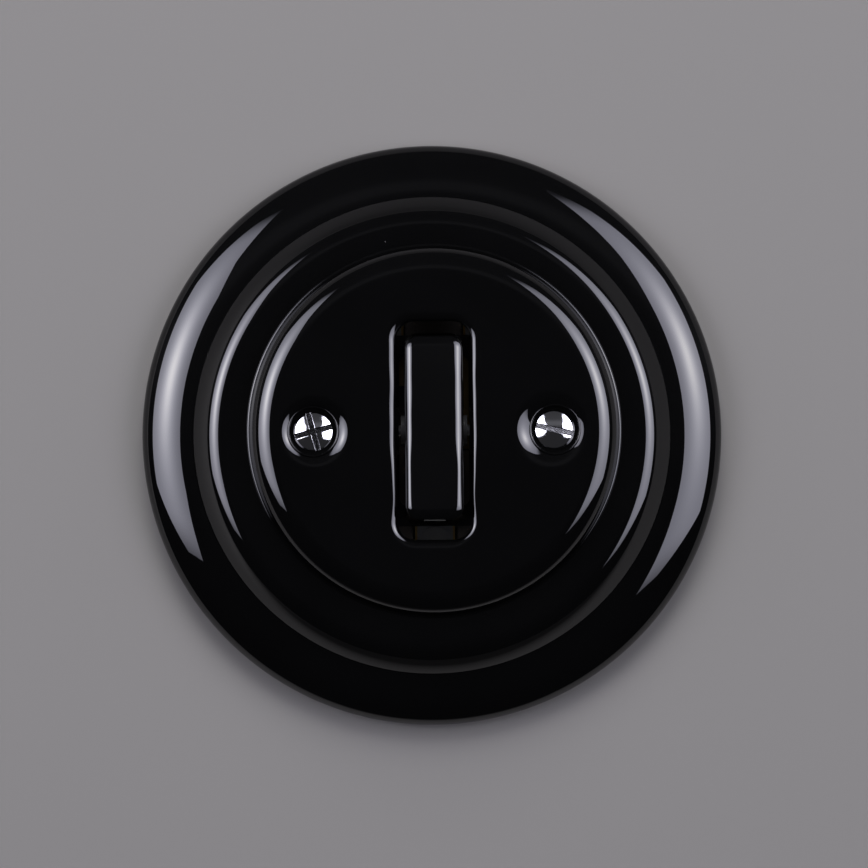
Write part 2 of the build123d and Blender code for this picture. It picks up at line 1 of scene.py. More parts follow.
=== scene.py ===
import bmesh
import bpy
import json
import numpy as np
from math import radians
from mathutils import Matrix, Vector
from mathutils.geometry import delaunay_2d_cdt


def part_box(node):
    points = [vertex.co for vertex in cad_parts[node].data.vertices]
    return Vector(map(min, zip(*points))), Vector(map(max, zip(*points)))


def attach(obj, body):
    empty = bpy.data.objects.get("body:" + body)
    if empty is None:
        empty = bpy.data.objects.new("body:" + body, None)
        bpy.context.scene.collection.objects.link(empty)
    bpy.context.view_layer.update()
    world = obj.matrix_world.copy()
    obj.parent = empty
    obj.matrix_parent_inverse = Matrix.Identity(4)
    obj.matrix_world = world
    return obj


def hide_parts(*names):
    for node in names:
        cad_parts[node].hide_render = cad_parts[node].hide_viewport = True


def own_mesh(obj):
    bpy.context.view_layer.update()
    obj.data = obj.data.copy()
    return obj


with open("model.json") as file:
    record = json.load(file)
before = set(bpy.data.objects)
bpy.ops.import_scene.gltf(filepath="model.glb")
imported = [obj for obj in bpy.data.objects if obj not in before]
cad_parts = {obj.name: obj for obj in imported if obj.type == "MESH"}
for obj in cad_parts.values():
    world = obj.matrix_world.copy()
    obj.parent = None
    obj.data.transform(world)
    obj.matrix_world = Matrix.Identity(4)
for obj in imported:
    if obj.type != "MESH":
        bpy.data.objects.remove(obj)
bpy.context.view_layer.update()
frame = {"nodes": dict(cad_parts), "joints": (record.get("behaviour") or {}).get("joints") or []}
mm = 0.001  # shapes are worked out in millimetres and put into the mesh in metres
weldWithin, sharpAngle = 0.002, 38  # millimetres and degrees
print("frame loaded:", len(frame["nodes"]), "nodes")

# the rocker's axis, and how far the key leans at rest: half its travel off the middle
rockerJoint = next(joint for joint in frame["joints"] if joint["name"] == "rocker_tilt")
pivot = np.array(rockerJoint["pos_m"]) / mm
restTilt = radians(rockerJoint["range_deg"][1]) / 2


# an ellipse's arc: x = cx + rx cos a, y = cy + ry sin a
def arcPoints(centre, radii, start, end, steps):
    a = np.radians(np.linspace(start, end, steps + 1))
    return np.stack([centre[0] + radii[0] * np.cos(a), centre[1] + radii[1] * np.sin(a)], 1)


# a step without corners: 3 t^2 - 2 t^3, for t from 0 to 1
def smoothStep(t):
    t = np.clip(t, 0, 1)
    return t * t * (3 - 2 * t)


# how much the size of a hand-made edge sways: amount * sin(along * z + across * x + phase) summed over the
# waves, less a dip of amount * exp(-((z - place) / width)^2)
def edgeSway(x, z, waves, dip):
    amount, place, width = dip
    sway = -amount * np.exp(-(((z - place) / width) ** 2))
    for amount, along, across, phase in waves:
        sway = sway + amount * np.sin(along * z + across * x + phase)
    return sway


# a line through corners (x, y, radius): each corner is cut back on both sides by radius / tan(half its
# angle), and an arc about the point radius / sin(half its angle) along the bisector joins the cuts
def softLine(corners, steps=6):
    corners = np.array(corners, float)
    parts = [corners[:1, :2]]
    share = np.linspace(0, 1, steps + 1)[:, None]
    for before, here, after in zip(corners[:-2], corners[1:-1], corners[2:]):
        corner, radius = here[:2], here[2]
        if radius == 0:
            parts.append(corner[None])
            continue
        back = (before[:2] - corner) / np.linalg.norm(before[:2] - corner)
        ahead = (after[:2] - corner) / np.linalg.norm(after[:2] - corner)
        half = np.arccos(np.clip(back @ ahead, -1, 1)) / 2
        centre = corner + (back + ahead) / np.linalg.norm(back + ahead) * radius / np.sin(half)
        first = corner + back * radius / np.tan(half) - centre
        last = corner + ahead * radius / np.tan(half) - centre
        sweep = np.pi - 2 * half
        arc = (np.sin((1 - share) * sweep) * first + np.sin(share * sweep) * last) / np.sin(sweep)
        parts.append(centre + arc)
    parts.append(corners[-1:, :2])
    return np.concatenate(parts)


# rounded rectangles, one for each level: corner arcs about centres at half width and half length less the
# corner's radius, joined by straight sides in even steps
def boxLoops(halfWidth, halfLength, corner, sideSteps, endSteps, cornerSteps):
    a, b, c = (np.atleast_1d(np.asarray(value, float))[:, None] for value in (halfWidth, halfLength, corner))
    turn = np.linspace(0, np.pi / 2, cornerSteps + 1)
    arcs = []
    for quarter, (sx, sy) in enumerate(((1, 1), (-1, 1), (-1, -1), (1, -1))):
        angle = turn + quarter * np.pi / 2
        arcs.append(np.stack([sx * (a - c) + c * np.cos(angle), sy * (b - c) + c * np.sin(angle)], 2))
    parts = []
    for quarter, steps in enumerate((endSteps, sideSteps, endSteps, sideSteps)):
        share = np.linspace(0, 1, steps + 1)[1:-1][None, :, None]
        start, end = arcs[quarter][:, -1:], arcs[(quarter + 1) % 4][:, :1]
        parts += [arcs[quarter], start + (end - start) * share]
    return np.concatenate(parts, 1)


# places given as right, up and height off the wall, in the frame's own axes
def onWall(right, up, height):
    return np.stack(np.broadcast_arrays(right, -np.asarray(height), up), -1)


# the same on the rocker, whose plane goes through the pin and leans back by restTilt
def onRocker(right, up, height):
    c, s = np.cos(restTilt), np.sin(restTilt)
    y = pivot[1] + up * s - height * c
    z = pivot[2] + up * c + height * s
    return np.stack(np.broadcast_arrays(right + pivot[0], y, z), -1)


# the quads of a grid whose columns close on themselves, and whose rows do so too if asked
def gridFaces(rows, columns, closedRows=False):
    i = np.arange(rows if closedRows else rows - 1)[:, None]
    j = np.arange(columns)[None, :]
    low, high, after = i * columns, (i + 1) % rows * columns, (j + 1) % columns
    return np.stack([low + j, low + after, high + after, high + j], 2).reshape(-1, 4)


# a profile of (radius, height) turned about an axis off the wall: x + r cos f, z + r sin f, height
def turned(profile, x, z, spokes, mask, closed=False):
    f = np.linspace(0, 2 * np.pi, spokes, endpoint=False)[None, :]
    r, h = profile[:, :1], profile[:, 1:]
    points = onWall(x + r * np.cos(f), z + r * np.sin(f), h + 0 * f)
    return points.reshape(-1, 3), gridFaces(len(profile), spokes, closed), (mask[:, None] + 0 * f).ravel()


# loops at their heights, joined row by row, placed by onWall or onRocker
def stacked(loops, heights, place, mask=1.0):
    rows, columns = loops.shape[:2]
    heights = np.asarray(heights, float).reshape(rows, -1)
    points = place(loops[..., 0], loops[..., 1], heights + 0 * loops[..., 0])
    masks = np.broadcast_to(np.asarray(mask, float).reshape(-1, 1), (rows, 1)) + 0 * loops[..., 0]
    return points.reshape(-1, 3), gridFaces(rows, columns), masks.ravel()


# which points lie inside a loop: an odd number of its edges cross the ray to the right
def insideLoop(points, loop):
    x, y = points[:, :1], points[:, 1:]
    x1, y1 = loop[:, 0], loop[:, 1]
    x2, y2 = np.roll(x1, -1), np.roll(y1, -1)
    spans = (y1 > y) != (y2 > y)
    crossing = x1 + (y - y1) * (x2 - x1) / np.where(y2 == y1, 1, y2 - y1)
    return (spans & (x < crossing)).sum(1) % 2 == 1


# a flat patch inside the first loop and outside the others: a Delaunay triangulation that keeps the loops'
# edges, less the triangles whose middles lie in a hole
def flatPatch(loops, height, place, mask=1.0):
    flat = np.concatenate(loops)
    edges, start = [], 0
    for loop in loops:
        index = np.arange(len(loop))
        edges += np.stack([start + index, start + (index + 1) % len(loop)], 1).tolist()
        start += len(loop)
    wholeHull, tolerance = 0, 1e-7
    made = delaunay_2d_cdt([Vector(point) for point in flat.tolist()], edges, [], wholeHull, tolerance)
    spots, triangles = np.array(made[0]), np.array(made[2])
    middles = spots[triangles].mean(1)
    keep = insideLoop(middles, loops[0])
    for hole in loops[1:]:
        keep &= ~insideLoop(middles, hole)
    points = place(spots[:, 0], spots[:, 1], height + 0 * spots[:, 0])
    return points, triangles[keep], mask + 0 * spots[:, 0]


# a circle's loop, as the flat patches use it
def circleLoop(x, z, radius, spokes):
    f = np.linspace(0, 2 * np.pi, spokes, endpoint=False)
    return np.stack([x + radius * np.cos(f), z + radius * np.sin(f)], 1)


# patches of points, faces and mask values become one welded mesh, which rides on a body and replaces a node
def makePiece(name, patches, material, body, node, maskName):
    points = np.concatenate([patch[0] for patch in patches]) * mm
    masks = np.concatenate([patch[2] for patch in patches])
    starts = np.cumsum([0] + [len(patch[0]) for patch in patches[:-1]])
    faces = [face for patch, start in zip(patches, starts) for face in (patch[1] + start).tolist()]
    mesh = bpy.data.meshes.new(name)
    mesh.from_pydata(points.tolist(), [], faces)
    attribute = mesh.attributes.new(maskName, "FLOAT", "POINT")
    attribute.data.foreach_set("value", masks.astype(np.float32))
    welded = bmesh.new()
    welded.from_mesh(mesh)
    bmesh.ops.remove_doubles(welded, verts=welded.verts, dist=weldWithin * mm)
    bmesh.ops.recalc_face_normals(welded, faces=welded.faces)
    welded.to_mesh(mesh)
    welded.free()
    mesh.shade_smooth()
    mesh.set_sharp_from_angle(angle=radians(sharpAngle))
    mesh.materials.append(material)
    piece = bpy.data.objects.new(name, mesh)
    bpy.context.scene.collection.objects.link(piece)
    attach(piece, body)
    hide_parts(node)
    print(name, "made:", len(mesh.polygons), "faces")
    return piece


# node helpers: a node with its values set, a link by socket names, a number, colour or output put into a
# socket, and a Math node on two of them
def addNode(tree, kind, **values):
    node = tree.nodes.new(kind)
    for name, value in values.items():
        socket = name.replace("_", " ")
        if socket in node.inputs:
            node.inputs[socket].default_value = value
        else:
            setattr(node, name, value)
    return node


def join(tree, source, output, target, socket):
    tree.links.new(source.outputs[output], target.inputs[socket])


def putIn(tree, value, socket):
    if isinstance(value, bpy.types.NodeSocket):
        tree.links.new(value, socket)
    else:
        socket.default_value = (*value, 1) if isinstance(value, tuple) else value


def addMath(tree, operation, first, second):
    node = addNode(tree, "ShaderNodeMath", operation=operation)
    putIn(tree, first, node.inputs[0])
    putIn(tree, second, node.inputs[1])
    return node.outputs[0]


def newGroup(name, inputs, output):
    group = bpy.data.node_groups.new(name, "ShaderNodeTree")
    for socket, value in inputs.items():
        made = group.interface.new_socket(socket, in_out="INPUT", socket_type="NodeSocketFloat")
        made.default_value = value
    group.interface.new_socket(output, in_out="OUTPUT", socket_type="NodeSocketFloat")
    return group, group.nodes.new("NodeGroupInput"), group.nodes.new("NodeGroupOutput")


# uneven: cloudy noise of a given grain size in millimetres, stretched along the axes, between 0 and 1
def unevenGroup():
    inputs = {"Size": 5.0, "X": 1.0, "Y": 1.0, "Z": 1.0, "Detail": 2.0}
    group, inside, outside = newGroup("uneven", inputs, "Value")
    stretch = addNode(group, "ShaderNodeCombineXYZ")
    for axis in "XYZ":
        join(group, inside, axis, stretch, axis)
    scaled = addNode(group, "ShaderNodeVectorMath", operation="DIVIDE")
    join(group, addNode(group, "ShaderNodeTexCoord"), "Object", scaled, 0)
    join(group, stretch, "Vector", scaled, 1)
    noise = addNode(group, "ShaderNodeTexNoise", Roughness=0.55)
    join(group, scaled, "Vector", noise, "Vector")
    putIn(group, addMath(group, "DIVIDE", 1 / mm, inside.outputs["Size"]), noise.inputs["Scale"])
    join(group, inside, "Detail", noise, "Detail")
    join(group, noise, "Fac", outside, "Value")
    return group


# specks: sparse round dots, where a cell's point is nearer than Dot and the cell's own number is under Share
def speckGroup():
    group, inside, outside = newGroup("specks", {"Size": 3.0, "Dot": 0.03, "Share": 0.2}, "Mask")
    cells = addNode(group, "ShaderNodeTexVoronoi")
    join(group, addNode(group, "ShaderNodeTexCoord"), "Object", cells, "Vector")
    putIn(group, addMath(group, "DIVIDE", 1 / mm, inside.outputs["Size"]), cells.inputs["Scale"])
    number = addNode(group, "ShaderNodeSeparateColor")
    join(group, cells, "Color", number, "Color")
    near = addMath(group, "LESS_THAN", cells.outputs["Distance"], inside.outputs["Dot"])
    chosen = addMath(group, "LESS_THAN", number.outputs["Red"], inside.outputs["Share"])
    putIn(group, addMath(group, "MULTIPLY", near, chosen), outside.inputs["Mask"])
    return group


uneven, specks = unevenGroup(), speckGroup()


def useGroup(tree, group, **values):
    node = addNode(tree, "ShaderNodeGroup", node_tree=group)
    for name, value in values.items():
        node.inputs[name].default_value = value
    return node.outputs[0]


def emptyMaterial(name):
    material = bpy.data.materials.new(name)
    material.use_nodes = True
    material.node_tree.nodes.clear()
    return material, material.node_tree


def newMaterial(name):
    material, tree = emptyMaterial(name)
    shader = addNode(tree, "ShaderNodeBsdfPrincipled")
    join(tree, shader, "BSDF", addNode(tree, "ShaderNodeOutputMaterial"), "Surface")
    return material, tree, shader


# a value carried from one range to another
def spread(tree, value, low, high, fromLow=0.0, fromHigh=1.0, run="LINEAR"):
    node = addNode(
        tree, "ShaderNodeMapRange", interpolation_type=run,
        From_Min=fromLow, From_Max=fromHigh, To_Min=low, To_Max=high,
    )
    putIn(tree, value, node.inputs["Value"])
    return node.outputs["Result"]


# a Mix node's two inputs and its output, by number, for values and for colours
mixSockets = dict(FLOAT=(2, 3, 0), RGBA=(6, 7, 2))


# two values or colours, mixed by a mask
def mixed(tree, kind, mask, first, second, blend="MIX"):
    node = addNode(tree, "ShaderNodeMix", data_type=kind, blend_type=blend)
    before, after, result = mixSockets[kind]
    putIn(tree, mask, node.inputs[0])
    putIn(tree, first, node.inputs[before])
    putIn(tree, second, node.inputs[after])
    return node.outputs[result]


def mixColour(tree, mask, first, second):
    return mixed(tree, "RGBA", mask, first, second)


def timesColour(tree, first, second):
    return mixed(tree, "RGBA", 1.0, first, second, "MULTIPLY")


# a tone that follows a value: each place has its level, with straight runs between
def toneAlong(tree, value, places, levels, tint=(1.0, 1.0, 1.0)):
    ramp = addNode(tree, "ShaderNodeValToRGB")
    for place in places[1:-1]:
        ramp.color_ramp.elements.new((place - places[0]) / (places[-1] - places[0]))
    for element, level in zip(ramp.color_ramp.elements, levels):
        element.color = (*(level * part for part in tint), 1)
    putIn(tree, spread(tree, value, 0.0, 1.0, places[0], places[-1]), ramp.inputs[0])
    return ramp.outputs[0]


# heights in millimetres added up for the bump
def bumpFrom(tree, shader, parts):
    total, *others = [addMath(tree, "MULTIPLY", value, depth * mm) for value, depth in parts]
    for other in others:
        total = addMath(tree, "ADD", total, other)
    bump = addNode(tree, "ShaderNodeBump", Strength=1.0, Distance=1.0)
    putIn(tree, total, bump.inputs["Height"])
    join(tree, bump, "Normal", shader, "Normal")
    return bump


glaze = dict(
    black=(0.0003, 0.0003, 0.00033), grey=(0.0007, 0.0007, 0.00075), cloudSize=14.0, smooth=(0.02, 0.06),
    dust=(0.09, 0.088, 0.085), dustSize=4.2, dustDot=0.018, dustShare=0.16,
    body=(0.66, 0.62, 0.55), bodyGrain=(0.5, 0.46, 0.4), grainSize=0.5, bodyRough=0.8, fade=(0.35, 0.65),
    rippleSize=7.0, frameRipple=0.010, coverRipple=0.016, keyRipple=0.035, peelSize=1.1, peelDepth=0.0006,
    coatIor=1.5, coatRough=0.015,
)


# black glaze over a pale ceramic body, which shows bare where the mask "glazed" is 0
def glazeMaterial(name, rippleDepth):
    material, tree, shader = newMaterial(name)
    cloud = useGroup(tree, uneven, Size=glaze["cloudSize"], Detail=3.0)
    ripple = useGroup(tree, uneven, Size=glaze["rippleSize"], Detail=0.5)
    peel = useGroup(tree, uneven, Size=glaze["peelSize"], Detail=1.0)
    grain = useGroup(tree, uneven, Size=glaze["grainSize"], Detail=3.0)
    dust = useGroup(tree, specks, Size=glaze["dustSize"], Dot=glaze["dustDot"], Share=glaze["dustShare"])
    mask = addNode(tree, "ShaderNodeAttribute", attribute_name="glazed")
    glazed = spread(tree, mask.outputs["Fac"], 0.0, 1.0, *glaze["fade"])
    toned = mixColour(tree, cloud, glaze["black"], glaze["grey"])
    dusted = mixColour(tree, dust, toned, glaze["dust"])
    body = mixColour(tree, grain, glaze["bodyGrain"], glaze["body"])
    putIn(tree, mixColour(tree, glazed, body, dusted), shader.inputs["Base Color"])
    smooth = spread(tree, cloud, *glaze["smooth"])
    putIn(tree, mixed(tree, "FLOAT", glazed, glaze["bodyRough"], smooth), shader.inputs["Roughness"])
    putIn(tree, glazed, shader.inputs["Coat Weight"])
    shader.inputs["Specular IOR Level"].default_value = 0.0  # the coat alone mirrors
    shader.inputs["Coat IOR"].default_value = glaze["coatIor"]
    shader.inputs["Coat Roughness"].default_value = glaze["coatRough"]
    bump = bumpFrom(tree, shader, [(ripple, rippleDepth), (peel, glaze["peelDepth"])])
    join(tree, bump, "Normal", shader, "Coat Normal")
    return material


metal = dict(cloudSize=6.0, stainSize=1.7, stainDot=0.05, stainShare=0.1, stainTone=0.55, hairSize=0.12)


# a metal with uneven tone, small stains and a rougher skin where the tone is dark
def metalMaterial(name, look):
    material, tree, shader = newMaterial(name)
    cloud = useGroup(tree, uneven, Size=metal["cloudSize"], Detail=4.0)
    stain = useGroup(tree, specks, Size=metal["stainSize"], Dot=metal["stainDot"], Share=metal["stainShare"])
    toned = mixColour(tree, cloud, look["dark"], look["pale"])
    stained = mixColour(tree, stain, toned, tuple(metal["stainTone"] * part for part in look["dark"]))
    putIn(tree, stained, shader.inputs["Base Color"])
    polished, dull = look["rough"]
    putIn(tree, spread(tree, cloud, dull, polished), shader.inputs["Roughness"])
    shader.inputs["Metallic"].default_value = 1.0
    return material, tree, shader, cloud


# the same with hairlines, drawn out along the axes by hairs
def brushedMaterial(name, look):
    material, tree, shader, cloud = metalMaterial(name, look)
    stretch = dict(zip("XYZ", look["hairs"]))
    hair = useGroup(tree, uneven, Size=metal["hairSize"], Detail=2.0, **stretch)
    bumpFrom(tree, shader, [(hair, look["hairDepth"]), (cloud, look["hairDepth"])])
    return material


moulding = dict(cloudSize=9.0, cloudShare=4.0, grainSize=0.35, fleckSize=1.1, fleckDot=0.16, roughSway=0.1)


# a moulding: two near tones in clouds, paler filler specks and a fine skin
def mouldingMaterial(name, look):
    material, tree, shader = newMaterial(name)
    cloud = useGroup(tree, uneven, Size=moulding["cloudSize"], Detail=4.0)
    grain = useGroup(tree, uneven, Size=moulding["grainSize"], Detail=2.0)
    size, dot = moulding["fleckSize"], moulding["fleckDot"]
    flecks = useGroup(tree, specks, Size=size, Dot=dot, Share=look["fleckShare"])
    toned = mixColour(tree, cloud, look["dark"], look["pale"])
    putIn(tree, mixColour(tree, flecks, toned, look["fleck"]), shader.inputs["Base Color"])
    low, high = look["rough"] - moulding["roughSway"], look["rough"] + moulding["roughSway"]
    putIn(tree, spread(tree, grain, low, high), shader.inputs["Roughness"])
    depth = look["grainDepth"]
    bumpFrom(tree, shader, [(grain, depth), (cloud, moulding["cloudShare"] * depth)])
    return material


frameGlaze = glazeMaterial("frame_glaze", glaze["frameRipple"])
coverGlaze = glazeMaterial("cover_glaze", glaze["coverRipple"])
keyGlaze = glazeMaterial("key_glaze", glaze["keyRipple"])
print("glazes ready")


# the frame: an upright foot, a round edge, a bead that is part of an ellipse, a sharp crease, a slope that
# steepens outwards, a round shoulder and a flat tier, hollow behind
ring = dict(
    creaseHeight=7.1, beadWide=9.5, beadTall=6.2, beadEnd=29.3, flat=35.95, slopeTop=45.2, slopeFoot=49.0,
    shoulder=3.5, wall=4.0, web=4.6, footWidth=3.8, footFlare=1.6, edge=0.8, footEdge=0.3, opening=30.15,
    glazeDown=1.2, glazeIn=0.2, shoulderSteps=40, slopeSteps=24, beadSteps=64, edgeSteps=20, spokes=320,
)
ringLow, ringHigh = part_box("frame_ring")
ringRadius = (ringHigh.x - ringLow.x) / 2 / mm
ringRight = (ringHigh.x + ringLow.x) / 2 / mm
ringUp = (ringHigh.z + ringLow.z) / 2 / mm  # the frame hangs a little low and to the left
seat = -ringLow.y / mm  # height of the second tier


def ringProfile():
    creaseHeight, flat, bend = ring["creaseHeight"], ring["flat"], ring["shoulder"]
    shoulder = arcPoints((flat, seat - bend), (bend, bend), 90 - ring["slopeTop"], 90, ring["shoulderSteps"])
    # the slope is a wide arc of radius drop / (cos top - cos foot) from the shoulder's end down to the crease
    tilts = np.radians(np.linspace(ring["slopeFoot"], ring["slopeTop"], ring["slopeSteps"]))
    wide = (shoulder[0][1] - creaseHeight) / (np.cos(tilts[-1]) - np.cos(tilts[0]))
    slope = np.stack([
        shoulder[0][0] + wide * (np.sin(tilts) - np.sin(tilts[-1])),
        shoulder[0][1] + wide * (np.cos(tilts) - np.cos(tilts[-1])),
    ], 1)
    crease = slope[0][0]
    beadWide, beadTall = ring["beadWide"], ring["beadTall"]
    middle, radii = (crease, creaseHeight - beadTall), (beadWide, beadTall)
    bead = arcPoints(middle, radii, ring["beadEnd"], 90, ring["beadSteps"])
    # the edge turns from the bead's last tilt to upright: its radius is the room left over / (1 - sin tilt)
    beadEnd = radians(ring["beadEnd"])
    tilt = np.arctan2(beadTall * np.cos(beadEnd), beadWide * np.sin(beadEnd))
    edge = (ringRadius - bead[0][0]) / (1 - np.sin(tilt))
    foot = bead[0][1] - edge * np.cos(tilt)
    rounded = arcPoints((ringRadius - edge, foot), (edge, edge), 0, 90 - np.degrees(tilt), ring["edgeSteps"])
    front = np.concatenate([rounded[:-1], bead, slope[1:-1], shoulder])

    webUnder, roof = seat - ring["web"], creaseHeight - ring["wall"]
    lean = np.tan(radians(ring["slopeFoot"]))
    inner = crease - ring["wall"] / np.sin(radians(ring["slopeFoot"]))
    footIn = ringRadius - ring["footWidth"]
    back = softLine([
        (flat, seat, 0),
        (ring["opening"], seat, ring["edge"]),
        (ring["opening"], webUnder, ring["edge"]),
        (inner - (webUnder - creaseHeight) / lean, webUnder, ring["edge"]),
        (inner + (creaseHeight - roof) / lean, roof, ring["edge"]),
        (footIn - ring["footFlare"], roof, ring["edge"]),
        (footIn, 0, ring["footEdge"]),
        (ringRadius, 0, ring["footEdge"]),
        (ringRadius, foot, 0),
    ])[1:-1]
    bare = (back[:, 1] < seat - ring["glazeDown"]) & (back[:, 0] < ringRadius - ring["glazeIn"])
    return np.concatenate([front, back]), np.concatenate([np.ones(len(front)), np.where(bare, 0.0, 1.0)])


profile, glazed = ringProfile()
makePiece(
    "frame_ring_glazed", [turned(profile, ringRight, ringUp, ring["spokes"], glazed, closed=True)],
    frameGlaze, "housing", "frame_ring", "glazed",
)


# the cover: a cap with a round rim, a bead of glaze at its foot and a spigot, the key's opening with a soft
# lip, and two dished screw seats with a roll of glaze round their bores
cap = dict(
    edge=4.4, bead=0.4, thickness=3.6, spigot=29.2, spigotWall=4.0, spigotLength=2.6, bodyEdge=0.4,
    margin=0.15, openingWidth=12.8, openingLength=37.1, openingCorner=3.2, openingSteps=(48, 10, 20),
    bareEdge=0.3, lip=1.6, lipRight=1.05, lipDepth=1.07, lipSteps=24, tightFrom=2.0, tightRun=3.9,
    waves=((0.04, 0.42, 0.0, 1.2), (0.03, 0.93, 0.4, 0.0)), dip=(0.42, -11.0, 5.0),
    glazeOut=0.5, glazeUp=0.1, rimSteps=48, beadSteps=16, spokes=256,
)
seats = dict(
    spacing=41.1, dish=(6.25, 6.745), curve=(3.3, 5.24), shift=(0.22, -0.735), drop=0.758, rim=4.05,
    roll=0.15, depth=1.0, floor=2.9, hole=2.0, boss=5.0, bossLength=4.4, margin=0.1, floorEdge=0.03,
    wallFoot=0.2, glazeUp=0.4, dishSteps=30, crowding=1.3, rollSteps=14, spokes=96,
)
coverLow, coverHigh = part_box("cover_plate")
coverRadius = (coverHigh.x - coverLow.x) / 2 / mm
coverFace = -coverLow.y / mm
coverUnder = coverFace - cap["thickness"]
seatFloor = coverFace - seats["drop"] - seats["depth"]


# the opening's loops, from the soft lip on the face down to the cover's underside, and the way outwards at
# each point. The lip is a quarter ellipse, tighter on the right and low down, and its size sways a little
def openingLoops():
    lip = arcPoints((cap["lip"], -cap["lipDepth"]), (cap["lip"], cap["lipDepth"]), 90, 180, cap["lipSteps"])
    lip = np.concatenate([[(cap["lip"] + cap["margin"], 0)], lip, [(0, -cap["thickness"])]])
    width, length, corner = cap["openingWidth"] / 2, cap["openingLength"] / 2, cap["openingCorner"]
    inside = boxLoops(width, length, corner, *cap["openingSteps"])
    outward = boxLoops(width + 1, length + 1, corner + 1, *cap["openingSteps"]) - inside
    x, z = inside[0, :, 0], inside[0, :, 1]
    tight = smoothStep((x - cap["tightFrom"]) / cap["tightRun"])
    size = (1 + (cap["lipRight"] / cap["lip"] - 1) * tight) * (1 + edgeSway(x, z, cap["waves"], cap["dip"]))
    heights = coverFace + lip[:, 1:] * size
    heights[-1] = coverUnder
    return inside + outward * (lip[:, :1] * size)[..., None], heights, outward[0]


# a screw seat's dish and the roll of glaze round its bore. The dish stands a little to one side of the bore:
# its loops go from its own circle to the roll's circle, and its depth is
# curve - sqrt(curve^2 - (dish radius - distance to the dish's middle)^2)
def dishPatch(x, wide, curve, shift):
    f = np.linspace(0, 2 * np.pi, seats["spokes"], endpoint=False)[None, :]
    away = np.linspace(1, 0, seats["dishSteps"])[:, None] ** seats["crowding"]
    rollOut = seats["rim"] + 2 * seats["roll"]
    reach = rollOut + (wide - rollOut) * away
    right, up = reach * np.cos(f) + shift * away, reach * np.sin(f)
    inward = np.maximum(wide - np.hypot(right - shift, up), 0)
    height = coverFace - (curve - np.sqrt(curve**2 - inward**2))
    edge = wide + seats["margin"]
    roll = arcPoints((seats["rim"] + seats["roll"], 0), (seats["roll"],) * 2, 0, 180, seats["rollSteps"])[1:]
    right = np.concatenate([edge * np.cos(f) + shift, right, roll[:, :1] * np.cos(f)])
    up = np.concatenate([edge * np.sin(f), up, roll[:, :1] * np.sin(f)])
    height = np.concatenate([coverFace + 0 * f, height, height[-1:] + roll[:, 1:]])
    return onWall(x + right, up, height).reshape(-1, 3), gridFaces(*height.shape), np.ones(height.size)


def coverPatches():
    foot = coverRadius - cap["bead"]
    flat = foot - cap["edge"]
    spigotIn, spigotEnd = cap["spigot"] - cap["spigotWall"], seat - cap["spigotLength"]
    underIn = spigotIn - 2 * cap["bodyEdge"]
    rim = arcPoints((flat, coverFace - cap["edge"]), (cap["edge"],) * 2, 90, 0, cap["rimSteps"])
    bead = arcPoints((foot, seat), (cap["bead"],) * 2, 90, 0, cap["beadSteps"])
    under = softLine([
        (coverRadius, seat, 0),
        (cap["spigot"], seat, 0),
        (cap["spigot"], spigotEnd, cap["bodyEdge"]),
        (spigotIn, spigotEnd, cap["bodyEdge"]),
        (spigotIn, coverUnder, cap["bodyEdge"]),
        (underIn, coverUnder, 0),
    ])
    outside = np.concatenate([[(flat - cap["margin"], coverFace)], rim, bead, under[1:]])
    glazed = (outside[:, 0] > cap["spigot"] + cap["glazeOut"]) | (outside[:, 1] > coverUnder + cap["glazeUp"])
    patches = [turned(outside, 0, 0, cap["spokes"], np.where(glazed, 1.0, 0.0))]

    loops, heights, outward = openingLoops()
    patches.append(stacked(loops, heights, onWall))
    bare = loops[-1] + cap["bareEdge"] * outward
    patches.append(stacked(np.stack([loops[-1], bare]), [coverUnder] * 2, onWall, (1, 0)))

    top = [circleLoop(0, 0, flat - cap["margin"], cap["spokes"]), loops[0]]
    bottom = [circleLoop(0, 0, underIn, cap["spokes"]), bare]
    coneEnd, bossEnd = seatFloor - (seats["floor"] - seats["hole"]), coverUnder - seats["bossLength"]
    bore = softLine([
        (seats["rim"], seatFloor + seats["wallFoot"], 0),
        (seats["rim"], seatFloor, seats["floorEdge"]),
        (seats["floor"], seatFloor, 0),
        (seats["hole"], coneEnd, 0),
        (seats["hole"], bossEnd, cap["bodyEdge"]),
        (seats["boss"], bossEnd, cap["bodyEdge"]),
        (seats["boss"], coverUnder, 0),
    ])
    boreGlazed = np.where(bore[:, 1] > coneEnd + seats["glazeUp"], 1.0, 0.0)
    spokes = seats["spokes"]
    for side, wide, curve, shift in zip((-1, 1), seats["dish"], seats["curve"], seats["shift"]):
        x = side * seats["spacing"] / 2
        dish = dishPatch(x, wide, curve, shift)
        below = turned(bore, x, 0, spokes, boreGlazed)
        wall = np.concatenate([dish[0][-spokes:], below[0][:spokes]])
        patches += [dish, below, (wall, gridFaces(2, spokes), np.ones(len(wall)))]
        top.append(circleLoop(x + shift, 0, wide + seats["margin"], spokes))
        bottom.append(circleLoop(x, 0, seats["boss"], spokes))
    return patches + [flatPatch(top, coverFace, onWall), flatPatch(bottom, coverUnder, onWall, 0.0)]


makePiece("cover_plate_glazed", coverPatches(), coverGlaze, "housing", "cover_plate", "glazed")


